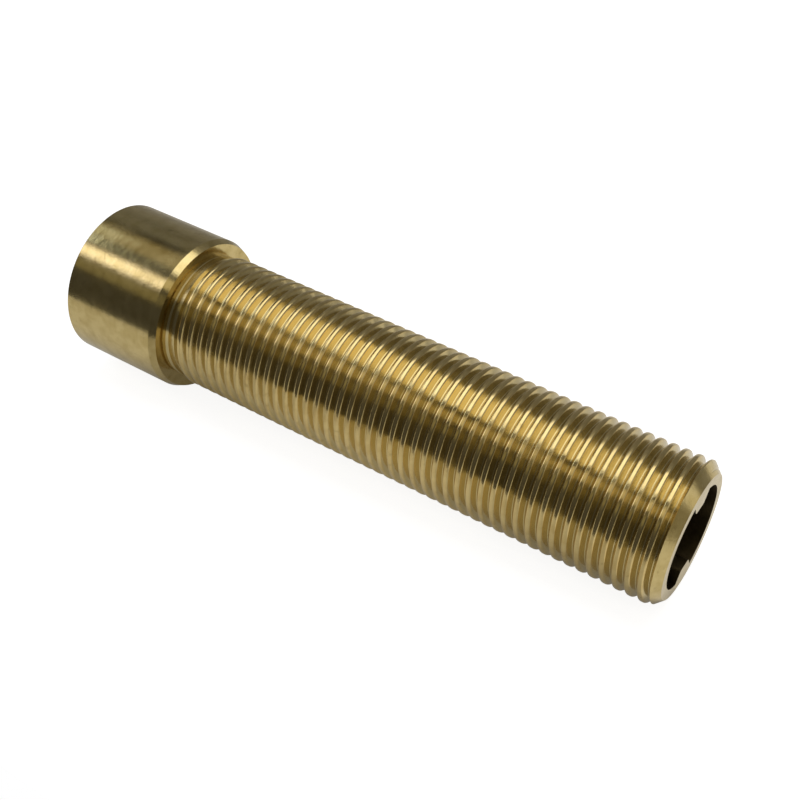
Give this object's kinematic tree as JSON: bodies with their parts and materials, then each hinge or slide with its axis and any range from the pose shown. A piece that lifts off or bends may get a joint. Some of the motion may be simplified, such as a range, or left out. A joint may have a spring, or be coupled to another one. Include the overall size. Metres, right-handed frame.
{
  "type": "threaded pipe extension",
  "caption": "Long brass tube with an outside pipe thread along most of its length, a smooth tapped socket collar at one end and two inner driving lugs.",
  "frame": {"origin": "centre of the socket end face, which it stands on", "axes": "+Z along the bore axis, from the socket to the threaded end; the two inner lugs lie on the X axis"},
  "size_m": [0.0244, 0.0244, 0.1],
  "materials": {
    "brass": "turned bare brass, lightly dulled"
  },
  "bodies": {
    "root": {"threaded_extension": "brass"}
  },
  "joints": []
}
